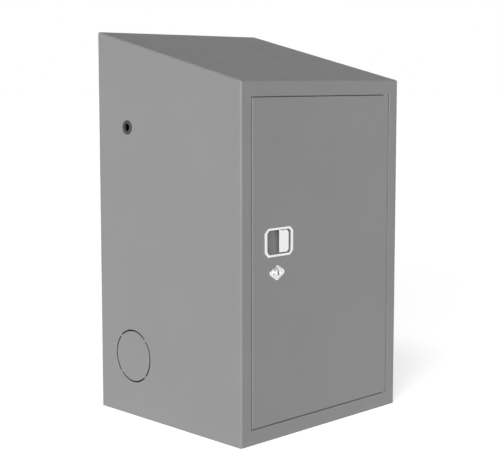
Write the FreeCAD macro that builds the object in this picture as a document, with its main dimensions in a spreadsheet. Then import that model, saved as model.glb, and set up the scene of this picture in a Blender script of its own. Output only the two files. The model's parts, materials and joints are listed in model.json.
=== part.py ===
import FreeCAD, Part
import math
import os
import re

import Sketcher

# Standpipe cabinet: sheet-steel box with a sloping roof and an inset door.
# Millimetres. +X to the right of someone facing the door, +Y towards the wall, +Z up.
# The origin is the middle of the footprint, on the underside.

SIZES = {
    # cabinet
    "cab_width": 600, "cab_depth": 555, "front_height": 905, "rear_height": 1035,
    "sheet_thick": 1.5, "bend_radius": 6, "seam_depth": 2.5, "stile_width": 36, "rail_height": 38.5,
    "stop_width": 28, "back_flange": 12, "fold_flat": 0.03,
    # door
    "latch_gap": 3, "hinge_gap": 2.5, "end_gap": 1.5, "door_thick": 20, "door_lip": 26, "door_bend": 2.5,
    "stiffener_width": 60, "stiffener_crown": 34, "stiffener_depth": 14, "stiffener_end": 60,
    # gasket
    "gasket_width": 8, "gasket_thick": 5, "gasket_inset": 19, "gasket_gap": 0.3,
    # pivots
    "pivot_inset": 8, "pivot_setback": 6.5, "pin_dia": 6, "pin_clearance": 0.05, "bush_dia": 9,
    "bush_flange": 12, "bush_reach": 8, "pivot_play": 0.3, "bracket_width": 34, "bracket_depth": 20,
    "bracket_thick": 5,
    # latch bezel and the dish behind it
    "latch_inset": 131.5, "latch_level": 504.5, "bezel_width": 102, "bezel_height": 74, "bezel_thick": 2.5,
    "bezel_corner": 11.5, "bezel_blend": 3, "bezel_side": 9, "bezel_end": 7, "bezel_edge": 0.8,
    "window_corner": 7,
    "dish_wall": 1.5, "dish_depth": 18, "well_depth": 12, "well_gap": 13.5, "cutout_gap": 0.5,
    # studs and nuts that hold the bezel
    "stud_dia": 4, "stud_offset": 47.8, "stud_rise": 20, "stud_length": 7, "nut_thick": 3.2, "nut_flats": 7,
    # paddle
    "paddle_width": 32, "paddle_gap": 1.2, "paddle_inset": 5, "paddle_setback": 0, "paddle_thick": 3.5,
    "paddle_pin_dia": 3, "paddle_lip": 1.05, "hub_dia": 6, "hub_end": 4, "hub_inset": 8,
    "hub_setback": 8.5, "web_thick": 4, "arm_level": 14, "arm_reach": 15.5, "arm_thick": 5,
    "arm_height": 8, "arm_slot_gap": 1.5, "arm_swing": 9,
    # latch case, rocker and bolt
    "case_left": 46, "case_right": 60, "case_height": 70, "case_depth": 21, "case_wall": 2,
    "rocker_thick": 3, "rocker_width": 9, "rocker_flat": 0.9, "rocker_top": 17, "rocker_foot": 22,
    "rocker_play": 1, "rocker_stud_dia": 5, "rocker_back": 1, "foot_pin_dia": 6, "foot_pin_end": 1,
    "foot_play": 0.9, "foot_lift": 5, "bolt_thick": 8, "bolt_below": 7, "bolt_above": 11,
    "bolt_play": 0.4, "bolt_hold": 8, "bolt_behind_strike": 0.8, "bolt_tail": 12, "bolt_slant": 6,
    "bolt_nose": 2, "pocket_depth": 5,
    # spring
    "spring_dia": 7.4, "spring_wire": 0.8, "spring_pitch": 0.7, "spring_turns": 5, "spring_gap": 0.3,
    "spring_leg": 11, "spring_leg_dia": 0.72,
    # strike
    "strike_width": 22, "strike_height": 44, "strike_thick": 1.5, "rivet_dia": 4, "rivet_head": 7,
    "rivet_dome": 1.4, "rivet_tail": 0.7, "rivet_spread": 14, "rivet_inset": 5,
    # cam lock
    "lock_inset": 124.3, "lock_level": 427.3, "rosette_width": 57, "rosette_height": 38,
    "rosette_thick": 3, "rosette_round": 8, "collar_dia": 27, "collar_thick": 1.2, "lock_dia": 19,
    "lock_proud": 6, "lock_length": 34, "plug_dia": 13, "plug_clearance": 0.05, "plug_end": 0.3,
    "key_width": 4, "key_height": 10, "key_depth": 12, "lock_nut_thick": 5, "lock_nut_flats": 26,
    "cam_thick": 3, "cam_width": 18, "cam_hold": 8, "cam_end": 5.4, "cam_screw_dia": 4.5,
    "cam_screw_head": 9, "cam_screw_thick": 3.5,
    # side openings
    "knockout_dia": 144, "knockout_slot": 4, "knockout_back": 136, "knockout_level": 163.5,
    "knockout_tab": 7, "grommet_hole": 30, "grommet_flange": 38, "grommet_bore": 20,
    "grommet_back": 121, "grommet_level": 781, "grommet_lip": 2.5,
    # fixing holes
    "fixing_dia": 11, "wall_fixing_spread": 440, "wall_fixing_low": 150, "wall_fixing_rise": 680,
    "floor_fixing_spread_x": 440, "floor_fixing_spread_y": 380,
    # hose saddle
    "saddle_level": 640, "saddle_radius": 110, "saddle_reach": 120, "saddle_thick": 2,
    "saddle_plate_width": 150, "saddle_plate_height": 70, "saddle_lip": 14, "saddle_stud_dia": 8,
    "saddle_stud_length": 14, "saddle_stud_x": 55, "saddle_stud_z": 22, "saddle_nut_thick": 6.5,
    "saddle_nut_flats": 13,
}

doc = FreeCAD.newDocument("StandpipeCabinet")
sheet = doc.addObject("Spreadsheet::Sheet", "Sizes")
for row, (alias, size) in enumerate(SIZES.items(), start=1):
    sheet.set(f"A{row}", alias)
    sheet.set(f"B{row}", str(size))
    sheet.setAlias(f"B{row}", alias)
doc.recompute()

# Lines and planes that several pieces share, as expressions over the sheet.
FRONT = "(-cab_depth/2)"
BACK = "(cab_depth/2)"
LEFT = "(-cab_width/2)"
RIGHT = "(cab_width/2)"
ROOF_RISE = "((rear_height - front_height)/cab_depth)"
ROOF_DROP = f"(sheet_thick*sqrt(1 + {ROOF_RISE}^2))"
OPEN_LEFT = f"({LEFT} + stile_width)"
OPEN_RIGHT = f"({RIGHT} - stile_width)"
OPEN_LOW = "(rail_height)"
OPEN_HIGH = "(front_height - rail_height)"
DOOR_LEFT = f"({OPEN_LEFT} + latch_gap)"
DOOR_RIGHT = f"({OPEN_RIGHT} - hinge_gap)"
DOOR_LOW = f"({OPEN_LOW} + end_gap)"
DOOR_HIGH = f"({OPEN_HIGH} - end_gap)"
DOOR_REAR = f"({FRONT} + door_thick)"
STOP_FRONT = f"({DOOR_REAR} + gasket_gap + gasket_thick)"
STOP_REAR = f"({STOP_FRONT} + sheet_thick)"
STOP_EDGE = f"({OPEN_LEFT} + stop_width)"
PIVOT_X = f"({DOOR_RIGHT} - pivot_inset)"
PIVOT_Y = f"({FRONT} + pivot_setback)"
LATCH_X = f"({LEFT} + latch_inset)"
CUP_LEFT = f"({LATCH_X} - bezel_width/2 + bezel_side)"
CUP_RIGHT = f"({LATCH_X} + bezel_width/2 - bezel_side)"
CUP_LOW = "(latch_level - bezel_height/2 + bezel_end)"
CUP_HIGH = "(latch_level + bezel_height/2 - bezel_end)"
BEZEL_FRONT = f"({FRONT} - bezel_thick)"
CUP_FLOOR = f"({FRONT} + dish_depth)"
CUP_REAR = f"({CUP_FLOOR} + dish_wall)"
HUB_X = f"({CUP_RIGHT} - hub_inset)"
HUB_Y = f"({FRONT} + hub_setback)"
WELL_FLOOR = f"({FRONT} + well_depth)"
WELL_RIGHT = f"({HUB_X} - well_gap)"
ROCKER_X = f"({HUB_X} - arm_thick/2 - rocker_play - rocker_width/2)"
ROCKER_Z = "(latch_level + arm_level - rocker_top)"
ROCKER_Y = f"({CUP_REAR} + rocker_back)"
CASE_REAR = f"({CUP_REAR} + case_depth)"
BOLT_Y = f"({STOP_REAR} + strike_thick + bolt_behind_strike)"
BOLT_Z = f"({ROCKER_Z} - rocker_foot)"
BOLT_TIP = f"({STOP_EDGE} - bolt_hold)"
LOCK_X = f"({LEFT} + lock_inset)"
LOCK_FRONT = f"({FRONT} - lock_proud)"
LOCK_REAR = f"({LOCK_FRONT} + lock_length)"
KNOCKOUT_Y = f"({BACK} - knockout_back)"
GROMMET_Y = f"({BACK} - grommet_back)"

# An edge counts as lying on a face when it is within this distance of it.
TOUCH = 0.1
ALIAS = re.compile(r"[a-z]\w*")
TURN = {
    "X": FreeCAD.Rotation(FreeCAD.Vector(0, 1, 0), 90),
    "Y": FreeCAD.Rotation(FreeCAD.Vector(1, 0, 0), -90),
    "Z": FreeCAD.Rotation(),
}


def bind(item, prop, text):
    """Bind a property to an expression whose words are the spreadsheet's aliases."""
    item.setExpression(prop, ALIAS.sub(lambda word: named(word.group(0)), str(text)))


def named(word):
    return f"Sizes.{word}" if word in SIZES else word


def put(item, x, y, z, rotation=None):
    """Place a primitive: the rotation is fixed and the corner or centre is bound to the sheet."""
    if rotation is not None:
        item.Placement = FreeCAD.Placement(FreeCAD.Vector(), rotation)
    for axis, text in zip("xyz", (x, y, z)):
        bind(item, f"Placement.Base.{axis}", text)
    return item


def block(name, x, y, z):
    """A box given by its (low, high) pair along each axis."""
    item = doc.addObject("Part::Box", name)
    for prop, (low, high) in zip(("Length", "Width", "Height"), (x, y, z)):
        bind(item, prop, f"({high}) - ({low})")
    return put(item, x[0], y[0], z[0])


def rod(name, along, centre, radius, length):
    """A cylinder that starts at centre and runs along +X, +Y or +Z."""
    item = doc.addObject("Part::Cylinder", name)
    bind(item, "Radius", radius)
    bind(item, "Height", length)
    return put(item, *centre, rotation=TURN[along])


def hexagon(name, along, centre, flats, length):
    """A hexagonal bar that starts at centre and runs along +X, +Y or +Z."""
    item = doc.addObject("Part::Prism", name)
    item.Polygon = 6
    bind(item, "Circumradius", f"({flats})/sqrt(3)")
    bind(item, "Height", length)
    return put(item, *centre, rotation=TURN[along])


def fuse(name, *parts):
    item = doc.addObject("Part::MultiFuse", name)
    item.Shapes = list(parts)
    item.Refine = True
    return item


def cut(name, base, *tools):
    item = doc.addObject("Part::Cut", name)
    item.Base = base
    item.Tool = tools[0] if len(tools) == 1 else fuse(f"{name}_tools", *tools)
    item.Refine = True
    return item


def common(name, base, tool):
    item = doc.addObject("Part::Common", name)
    item.Base = base
    item.Tool = tool
    item.Refine = True
    return item


def body(name):
    return doc.addObject("PartDesign::Body", name)


def sketch(owner, name, role, level="0"):
    """A sketch on one of the body's own origin planes, moved along its normal to level."""
    item = owner.newObject("Sketcher::SketchObject", name)
    plane = next(p for p in owner.Origin.OriginFeatures if p.Role == role)
    item.AttachmentSupport = [(plane, "")]
    item.MapMode = "FlatFace"
    bind(item, "AttachmentOffset.Base.z", level)
    return item


def outline(item, points):
    """Draw a closed polygon whose corners are (x, y) expression pairs bound to the sheet."""
    angles = [2*math.pi*i/len(points) for i in range(len(points))]
    spots = [FreeCAD.Vector(math.cos(angle), math.sin(angle), 0) for angle in angles]
    lines = [item.addGeometry(Part.LineSegment(start, end), False)
             for start, end in zip(spots, spots[1:] + spots[:1])]
    for line, following in zip(lines, lines[1:] + lines[:1]):
        item.addConstraint(Sketcher.Constraint("Coincident", line, 2, following, 1))
    for line, spot, corner in zip(lines, spots, points):
        for kind, value, text in zip(("DistanceX", "DistanceY"), (spot.x, spot.y), corner):
            index = item.addConstraint(Sketcher.Constraint(kind, -1, 1, line, 1, value))
            bind(item, f"Constraints[{index}]", text)
    return item


def extrude(owner, name, profile, length, reverse=False):
    item = owner.newObject("PartDesign::Pad", name)
    item.Profile = profile
    item.Reversed = reverse
    bind(item, "Length", length)
    return item


def prism(name, role, level, points, length, reverse=False):
    """A body with one padded polygon."""
    owner = body(name)
    profile = outline(sketch(owner, f"{name}_profile", role, level), points)
    extrude(owner, f"{name}_pad", profile, length, reverse)
    return owner


def dress(owner, kind, name, picks):
    """Add a fillet or chamfer to the edges of the body's tip that picks accepts."""
    doc.recompute()
    base = owner.Tip
    box = base.Shape.BoundBox
    names = [f"Edge{i}" for i, edge in enumerate(base.Shape.Edges, start=1) if picks(edge, box)]
    item = owner.newObject(kind, name)
    item.Base = (base, names)
    return item


def round_edges(owner, name, picks, radius):
    bind(dress(owner, "PartDesign::Fillet", name, picks), "Radius", radius)


def chamfer_edges(owner, name, picks, size):
    bind(dress(owner, "PartDesign::Chamfer", name, picks), "Size", size)


def at_front(edge, box):
    """True when an edge lies on the form's front face."""
    return edge.BoundBox.YMax < box.YMin + TOUCH


def runs_along(edge, axis):
    """True when a straight edge is parallel to the axis, or nearly so on the sloping roof."""
    box = edge.BoundBox
    spans = {"X": box.XLength, "Y": box.YLength, "Z": box.ZLength}
    return spans[axis] > 0.95*edge.Length


# Shell -----------------------------------------------------------------------------------

def shell_form(name, inset, drop, edge_cut):
    """The cabinet's solid form, inset on every side, with its bends rounded."""
    front = f"{FRONT} + {inset}"
    rear = f"{BACK} - {inset}"
    owner = prism(name, "YZ_Plane", f"{LEFT} + {inset}", [
        (front, inset), (rear, inset), (rear, f"rear_height - {ROOF_RISE}*{inset} - {drop}"),
        (front, f"front_height + {ROOF_RISE}*{inset} - {drop}")], f"cab_width - 2*{inset}")

    def is_bend(edge, box):
        above_floor = edge.BoundBox.ZMin > box.ZMin + TOUCH
        upright = runs_along(edge, "Z") and at_front(edge, box)
        eaves = runs_along(edge, "X") and at_front(edge, box) and above_floor
        verge = runs_along(edge, "Y") and above_floor
        return upright or eaves or verge

    round_edges(owner, f"{name}_bends", is_bend, f"bend_radius - {edge_cut}")
    return owner


outer_form = shell_form("outer_form", "0", "0", "0")
inner_form = shell_form("inner_form", "sheet_thick", ROOF_DROP, "sheet_thick")
doorway = block("doorway", (f"{OPEN_LEFT} - sheet_thick", f"{OPEN_RIGHT} + sheet_thick"),
                (f"{FRONT} - sheet_thick", f"{FRONT} + bend_radius"),
                (f"{OPEN_LOW} - sheet_thick", f"{OPEN_HIGH} + sheet_thick"))
wall = cut("wall", outer_form, inner_form, doorway)

FOLD_LEFT = f"({LEFT} + bend_radius)"
FOLD_RIGHT = f"({RIGHT} - bend_radius)"
ABOVE = "(rear_height + bend_radius)"


def side_panel(name, end, fold, jamb_edge, inward):
    """One side: its sheet, front bend and stile, and the jamb and stop behind the door's edge."""
    outside = f"{end} - ({inward})*sheet_thick"
    sheet_x = (outside, fold) if inward == "1" else (fold, outside)
    stile_edge = f"({jamb_edge} - ({inward})*sheet_thick)"
    stile_x = (fold, stile_edge) if inward == "1" else (stile_edge, fold)
    sheet_zone = block(f"{name}_sheet_zone", sheet_x, (f"{FRONT} - sheet_thick", f"{BACK} + sheet_thick"),
                       ("-sheet_thick", ABOVE))
    stile_zone = block(f"{name}_stile_zone", stile_x, (f"{FRONT} - sheet_thick", f"{FRONT} + bend_radius"),
                       ("seam_depth", "front_height - bend_radius"))
    shell = common(f"{name}_shell", wall, fuse(f"{name}_zone", sheet_zone, stile_zone))
    jamb = prism(f"{name}_jamb", "XY_Plane", f"{OPEN_LOW} - sheet_thick", [
        (stile_edge, FRONT), (jamb_edge, FRONT), (jamb_edge, STOP_FRONT),
        (f"{jamb_edge} + ({inward})*stop_width", STOP_FRONT),
        (f"{jamb_edge} + ({inward})*stop_width", STOP_REAR),
        (stile_edge, STOP_REAR)], f"{OPEN_HIGH} - {OPEN_LOW} + 2*sheet_thick")

    def is_nose(edge, box):
        beside_door = edge.BoundBox.XMin > box.XMin + TOUCH
        if inward == "-1":
            beside_door = edge.BoundBox.XMax < box.XMax - TOUCH
        return runs_along(edge, "Z") and at_front(edge, box) and beside_door

    round_edges(jamb, f"{name}_nose", is_nose, "sheet_thick - fold_flat")
    return fuse(f"{name}_whole", shell, jamb)


def rail(name, low_edge, high_edge, stop_edge, end):
    """The jamb and stop along the top or bottom of the doorway, between the side jambs."""
    owner = prism(name, "YZ_Plane", OPEN_LEFT, [
        (FRONT, high_edge), (FRONT, low_edge), (STOP_FRONT, low_edge), (STOP_FRONT, stop_edge),
        (STOP_REAR, stop_edge), (STOP_REAR, high_edge)], f"{OPEN_RIGHT} - {OPEN_LEFT}")

    def is_nose(edge, box):
        beside_door = edge.BoundBox.ZMin > box.ZMin + TOUCH
        if end == "roof":
            beside_door = edge.BoundBox.ZMax < box.ZMax - TOUCH
        return runs_along(edge, "X") and at_front(edge, box) and beside_door

    round_edges(owner, f"{name}_nose", is_nose, "sheet_thick - fold_flat")
    ends = {"left": (f"{OPEN_LEFT} - sheet_thick", f"{OPEN_LEFT} + stop_width"),
            "right": (f"{OPEN_RIGHT} - stop_width", f"{OPEN_RIGHT} + sheet_thick")}
    stops = [block(f"{name}_{side}_clear", span, (STOP_FRONT, f"{STOP_REAR} + sheet_thick"),
                   (f"{OPEN_LOW} - 2*sheet_thick", f"{OPEN_HIGH} + 2*sheet_thick"))
             for side, span in ends.items()]
    return cut(f"{name}_trimmed", owner, *stops)


left_whole = side_panel("left", LEFT, FOLD_LEFT, OPEN_LEFT, "1")
right_whole = side_panel("right", RIGHT, FOLD_RIGHT, OPEN_RIGHT, "-1")

left_knockout_hole = rod("left_knockout_hole", "X", (f"{LEFT} - sheet_thick", KNOCKOUT_Y, "knockout_level"),
                         "knockout_dia/2", "3*sheet_thick")
right_knockout_hole = rod("right_knockout_hole", "X",
                          (f"{RIGHT} - 2*sheet_thick", KNOCKOUT_Y, "knockout_level"),
                          "knockout_dia/2", "3*sheet_thick")
grommet_hole = rod("grommet_hole", "X", (f"{LEFT} - sheet_thick", GROMMET_Y, "grommet_level"),
                   "grommet_hole/2", "3*sheet_thick")
left_side_open = cut("left_side_open", left_whole, left_knockout_hole, grommet_hole)
right_side_panel = cut("right_side_panel", right_whole, right_knockout_hole)

back_zone = block("back_zone", (FOLD_LEFT, FOLD_RIGHT), (f"{BACK} - seam_depth", f"{BACK} + seam_depth"),
                  ("seam_depth", "rear_height - back_flange"))
rail_x = (f"{OPEN_LEFT} - sheet_thick", f"{OPEN_RIGHT} + sheet_thick")
front_y = (f"{FRONT} - sheet_thick", f"{FRONT} + bend_radius")
everywhere_y = (f"{FRONT} - sheet_thick", f"{BACK} + sheet_thick")

roof_zone = block("roof_zone", (FOLD_LEFT, FOLD_RIGHT), everywhere_y, ("front_height - bend_radius", ABOVE))
header_zone = block("header_zone", rail_x, front_y, (OPEN_HIGH, "front_height - bend_radius"))
roof_shell = common("roof_shell", wall, fuse("roof_zones", roof_zone, header_zone))
header_jamb = rail("header", OPEN_HIGH, f"{OPEN_HIGH} + sheet_thick", f"{OPEN_HIGH} - stop_width", "roof")
roof_whole = fuse("roof_whole", cut("roof_open_back", roof_shell, back_zone), header_jamb)

floor_zone = block("floor_zone", (FOLD_LEFT, FOLD_RIGHT), everywhere_y, ("-sheet_thick", "seam_depth"))
sill_zone = block("sill_zone", rail_x, front_y, ("seam_depth", OPEN_LOW))
floor_shell = common("floor_shell", wall, fuse("floor_zones", floor_zone, sill_zone))
sill_jamb = rail("sill", OPEN_LOW, f"{OPEN_LOW} - sheet_thick", f"{OPEN_LOW} + stop_width", "floor")
floor_whole = fuse("floor_whole", floor_shell, sill_jamb)


def spread(name, along, centre, offsets, radius, length, shape=rod):
    """The same rod or hexagon at several offsets from a centre."""
    starts = [tuple(f"{c} + ({o})" for c, o in zip(centre, offset)) for offset in offsets]
    return [shape(f"{name}_{i}", along, start, radius, length) for i, start in enumerate(starts, start=1)]


def group(name, solids):
    """One node that holds several separate solids."""
    item = doc.addObject("Part::Compound", name)
    item.Links = list(solids)
    return item


def nuts(name, centre, offsets, flats, thick, bore):
    """One node of hexagonal nuts whose axes run along +Y."""
    bars = spread(f"{name}_bar", "Y", centre, offsets, flats, thick, hexagon)
    holes = spread(f"{name}_bore", "Y", centre, offsets, bore, thick)
    return group(f"{name}s", [cut(f"{name}_{i}", bar, hole)
                              for i, (bar, hole) in enumerate(zip(bars, holes), start=1)])


def corners(first, second, half_first, half_second):
    """Offsets of a rectangle's four corners, with the two named axes holding the half sizes."""
    order = "XYZ"
    result = []
    for a in ("-1", "1"):
        for b in ("-1", "1"):
            offset = ["0", "0", "0"]
            offset[order.index(first)] = f"{a}*{half_first}"
            offset[order.index(second)] = f"{b}*{half_second}"
            result.append(tuple(offset))
    return result


top_pin_start = (PIVOT_X, PIVOT_Y, f"{DOOR_HIGH} - bush_reach")
low_pin_start = (PIVOT_X, PIVOT_Y, f"{OPEN_LOW} - sheet_thick - bracket_thick")
PIN_LENGTH = "(bush_reach + end_gap + sheet_thick + bracket_thick)"

floor_holes = spread("floor_hole", "Z", ("0", "0", "-sheet_thick"),
                     corners("X", "Y", "floor_fixing_spread_x/2", "floor_fixing_spread_y/2"),
                     "fixing_dia/2", "3*sheet_thick")
floor_panel = cut("floor_panel", floor_whole, *floor_holes,
                  rod("sill_pin_hole", "Z", low_pin_start, "pin_dia/2", PIN_LENGTH))
roof_panel = cut("roof_panel", roof_whole,
                 rod("header_pin_hole", "Z", top_pin_start, "pin_dia/2", PIN_LENGTH))

SADDLE_STUDS = corners("X", "Z", "saddle_stud_x", "saddle_stud_z")
SADDLE_PLATE_Z = "(saddle_level + saddle_plate_height/2)"
wall_holes = spread("wall_hole", "Y",
                    ("0", f"{BACK} - 2*sheet_thick", "wall_fixing_low + wall_fixing_rise/2"),
                    corners("X", "Z", "wall_fixing_spread/2", "wall_fixing_rise/2"),
                    "fixing_dia/2", "3*sheet_thick")
back_studs = spread("back_stud", "Y", ("0", f"{BACK} - sheet_thick - saddle_stud_length", SADDLE_PLATE_Z),
                    SADDLE_STUDS, "saddle_stud_dia/2", "saddle_stud_length + sheet_thick/2")
back_panel = cut("back_panel", fuse("back_with_studs", common("back_shell", wall, back_zone), *back_studs),
                 *wall_holes)


# Side openings ---------------------------------------------------------------------------

def knockout(name, start_x):
    """A punched disc that four small tabs still hold in its hole."""
    centre = (start_x, KNOCKOUT_Y, "knockout_level")
    disc = rod(f"{name}_disc", "X", centre, "knockout_dia/2 - knockout_slot", "sheet_thick")
    bars = []
    for number, sign in enumerate(("1", "-1"), start=1):
        bar = doc.addObject("Part::Box", f"{name}_bar_{number}")
        bind(bar, "Length", "sheet_thick")
        bind(bar, "Width", "2*knockout_dia")
        bind(bar, "Height", "knockout_tab")
        turn = FreeCAD.Rotation(FreeCAD.Vector(1, 0, 0), 45*int(sign))
        put(bar, start_x, f"{KNOCKOUT_Y} - (knockout_dia - ({sign})*knockout_tab/2)/sqrt(2)",
            f"knockout_level - (({sign})*knockout_dia + knockout_tab/2)/sqrt(2)", turn)
        bars.append(bar)
    hole = rod(f"{name}_limit", "X", centre, "knockout_dia/2", "sheet_thick")
    return fuse(name, disc, common(f"{name}_tabs", fuse(f"{name}_bars", *bars), hole))


left_knockout = knockout("left_knockout", LEFT)
right_knockout = knockout("right_knockout", f"{RIGHT} - sheet_thick")

GROMMET_START = (f"{LEFT} - grommet_lip", GROMMET_Y, "grommet_level")
cable_grommet = cut(
    "cable_grommet",
    fuse("grommet_form",
         rod("grommet_outer_lip", "X", GROMMET_START, "grommet_flange/2", "grommet_lip"),
         rod("grommet_neck", "X", GROMMET_START, "grommet_hole/2", "2*grommet_lip + sheet_thick"),
         rod("grommet_inner_lip", "X", (f"{LEFT} + sheet_thick", GROMMET_Y, "grommet_level"),
             "grommet_flange/2", "grommet_lip")),
    rod("grommet_bore", "X", GROMMET_START, "grommet_bore/2", "2*grommet_lip + sheet_thick"))


# Gasket and pivots -----------------------------------------------------------------------

def ring(name, inset, width, y):
    """A rectangular ring of one width, set in from the doorway's edges."""
    def frame(tag, margin):
        return block(f"{name}_{tag}", (f"{OPEN_LEFT} + {margin}", f"{OPEN_RIGHT} - ({margin})"), y,
                     (f"{OPEN_LOW} + {margin}", f"{OPEN_HIGH} - ({margin})"))
    return cut(name, frame("outside", inset), frame("inside", f"{inset} + {width}"))


door_gasket = ring("door_gasket", "gasket_inset", "gasket_width",
                   (f"{STOP_FRONT} - gasket_thick", STOP_FRONT))


def pivot(name, bracket_z, pin_start, door_face, direction):
    """One end of the hinge line: a bracket on the frame, its pin and the bush in the door's flange."""
    bracket = cut(f"{name}_hinge_bracket",
                  block(f"{name}_bracket_block",
                        (f"{PIVOT_X} - bracket_width/2", f"{PIVOT_X} + bracket_width/2"),
                        (f"{FRONT} + sheet_thick", f"{FRONT} + sheet_thick + bracket_depth"), bracket_z),
                  rod(f"{name}_bracket_hole", "Z", (PIVOT_X, PIVOT_Y, bracket_z[0]),
                      "pin_dia/2", "bracket_thick"))
    pin = rod(f"{name}_pivot_pin", "Z", pin_start, "pin_dia/2", PIN_LENGTH)
    rise = "(end_gap - pivot_play)"
    sleeve_start = f"{door_face} - bush_reach" if direction == "up" else f"{door_face}"
    flange_start = f"{door_face}" if direction == "up" else f"{door_face} - {rise}"
    bore_start = sleeve_start if direction == "up" else flange_start
    bush = cut(f"{name}_hinge_bush",
               fuse(f"{name}_bush_form",
                    rod(f"{name}_bush_sleeve", "Z", (PIVOT_X, PIVOT_Y, sleeve_start),
                        "bush_dia/2", "bush_reach"),
                    rod(f"{name}_bush_flange", "Z", (PIVOT_X, PIVOT_Y, flange_start),
                        "bush_flange/2", rise)),
               rod(f"{name}_bush_bore", "Z", (PIVOT_X, PIVOT_Y, bore_start), "pin_dia/2 + pin_clearance",
                   f"bush_reach + {rise}"))
    return bracket, pin, bush


top_bracket, top_pin, top_bush = pivot(
    "top", (f"{OPEN_HIGH} + sheet_thick", f"{OPEN_HIGH} + sheet_thick + bracket_thick"),
    top_pin_start, DOOR_HIGH, "up")
low_bracket, low_pin, low_bush = pivot(
    "bottom", (f"{OPEN_LOW} - sheet_thick - bracket_thick", f"{OPEN_LOW} - sheet_thick"),
    low_pin_start, DOOR_LOW, "down")


# Door ------------------------------------------------------------------------------------

door_form = prism("door_form", "XZ_Plane", f"-{FRONT}", [
    (DOOR_LEFT, DOOR_LOW), (DOOR_RIGHT, DOOR_LOW), (DOOR_RIGHT, DOOR_HIGH), (DOOR_LEFT, DOOR_HIGH)],
    "door_thick", reverse=True)
round_edges(door_form, "door_bends", at_front, "door_bend")
door_hollow = block("door_hollow", (f"{DOOR_LEFT} + sheet_thick", f"{DOOR_RIGHT} - sheet_thick"),
                    (f"{FRONT} + sheet_thick", f"{DOOR_REAR} - sheet_thick"),
                    (f"{DOOR_LOW} + sheet_thick", f"{DOOR_HIGH} - sheet_thick"))
door_mouth = block("door_mouth", (f"{DOOR_LEFT} + door_lip", f"{DOOR_RIGHT} - door_lip"),
                   (f"{DOOR_REAR} - 2*sheet_thick", f"{DOOR_REAR} + sheet_thick"),
                   (f"{DOOR_LOW} + door_lip", f"{DOOR_HIGH} - door_lip"))
latch_cutout = block("latch_cutout",
                     (f"{CUP_LEFT} - dish_wall - cutout_gap", f"{CUP_RIGHT} + dish_wall + cutout_gap"),
                     (f"{FRONT} - sheet_thick", f"{FRONT} + 2*sheet_thick"),
                     (f"{CUP_LOW} - dish_wall - cutout_gap", f"{CUP_HIGH} + dish_wall + cutout_gap"))
STUDS = corners("X", "Z", "stud_offset", "stud_rise")
stud_holes = spread("stud_hole", "Y", (LATCH_X, FRONT, "latch_level"), STUDS, "stud_dia/2", "2*sheet_thick")
lock_hole = rod("lock_hole", "Y", (LOCK_X, FRONT, "lock_level"), "lock_dia/2", "2*sheet_thick")
top_bush_hole = rod("top_bush_hole", "Z", (PIVOT_X, PIVOT_Y, f"{DOOR_HIGH} - 2*sheet_thick"), "bush_dia/2",
                    "3*sheet_thick")
low_bush_hole = rod("low_bush_hole", "Z", (PIVOT_X, PIVOT_Y, f"{DOOR_LOW} - sheet_thick"), "bush_dia/2",
                    "3*sheet_thick")
door_panel = cut("door_panel", door_form, door_hollow, door_mouth, latch_cutout, *stud_holes, lock_hole,
                 top_bush_hole, low_bush_hole)

BACK_OF_SKIN = f"({FRONT} + sheet_thick)"
CROWN = f"({BACK_OF_SKIN} + stiffener_depth)"
BRIM = f"({BACK_OF_SKIN} + sheet_thick)"
INSIDE = "(stiffener_crown/2 - sheet_thick)"
hat = [("-stiffener_width/2", BACK_OF_SKIN), ("-stiffener_width/2", BRIM),
       ("-stiffener_crown/2", BRIM), ("-stiffener_crown/2", CROWN),
       ("stiffener_crown/2", CROWN), ("stiffener_crown/2", BRIM),
       ("stiffener_width/2", BRIM), ("stiffener_width/2", BACK_OF_SKIN),
       (INSIDE, BACK_OF_SKIN), (INSIDE, f"{CROWN} - sheet_thick"),
       (f"-{INSIDE}", f"{CROWN} - sheet_thick"), (f"-{INSIDE}", BACK_OF_SKIN)]
door_stiffener = prism("door_stiffener", "XY_Plane", f"{DOOR_LOW} + stiffener_end", hat,
                       f"{DOOR_HIGH} - {DOOR_LOW} - 2*stiffener_end")


# Latch -----------------------------------------------------------------------------------

BEZEL_LEFT = f"({LATCH_X} - bezel_width/2)"
BEZEL_RIGHT = f"({LATCH_X} + bezel_width/2)"
BEZEL_LOW = "(latch_level - bezel_height/2)"
BEZEL_HIGH = "(latch_level + bezel_height/2)"
bezel = prism("bezel", "XZ_Plane", f"-{BEZEL_FRONT}", [
    (BEZEL_LEFT, BEZEL_LOW), (BEZEL_RIGHT, BEZEL_LOW), (BEZEL_RIGHT, BEZEL_HIGH), (BEZEL_LEFT, BEZEL_HIGH)],
    "bezel_thick", reverse=True)
chamfer_edges(bezel, "bezel_corners", lambda edge, box: runs_along(edge, "Y"), "bezel_corner")
round_edges(bezel, "bezel_blends", lambda edge, box: runs_along(edge, "Y"), "bezel_blend")
round_edges(bezel, "bezel_softened", at_front, "bezel_edge")
cup_form = block("cup_form", (f"{CUP_LEFT} - dish_wall", f"{CUP_RIGHT} + dish_wall"),
                 (FRONT, CUP_REAR), (f"{CUP_LOW} - dish_wall", f"{CUP_HIGH} + dish_wall"))
cup_space = prism("cup_space", "XZ_Plane", f"-({BEZEL_FRONT} - dish_wall)", [
    (CUP_LEFT, CUP_LOW), (CUP_RIGHT, CUP_LOW), (CUP_RIGHT, CUP_HIGH), (CUP_LEFT, CUP_HIGH)],
    f"{CUP_FLOOR} - {BEZEL_FRONT} + dish_wall", reverse=True)
chamfer_edges(cup_space, "cup_corners", lambda edge, box: runs_along(edge, "Y"), "window_corner")
bezel_studs = spread("bezel_stud", "Y", (LATCH_X, f"{FRONT} - bezel_thick/2", "latch_level"), STUDS,
                     "stud_dia/2 - pin_clearance", "stud_length + bezel_thick/2")
ARM_Z = "(latch_level + arm_level)"
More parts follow.
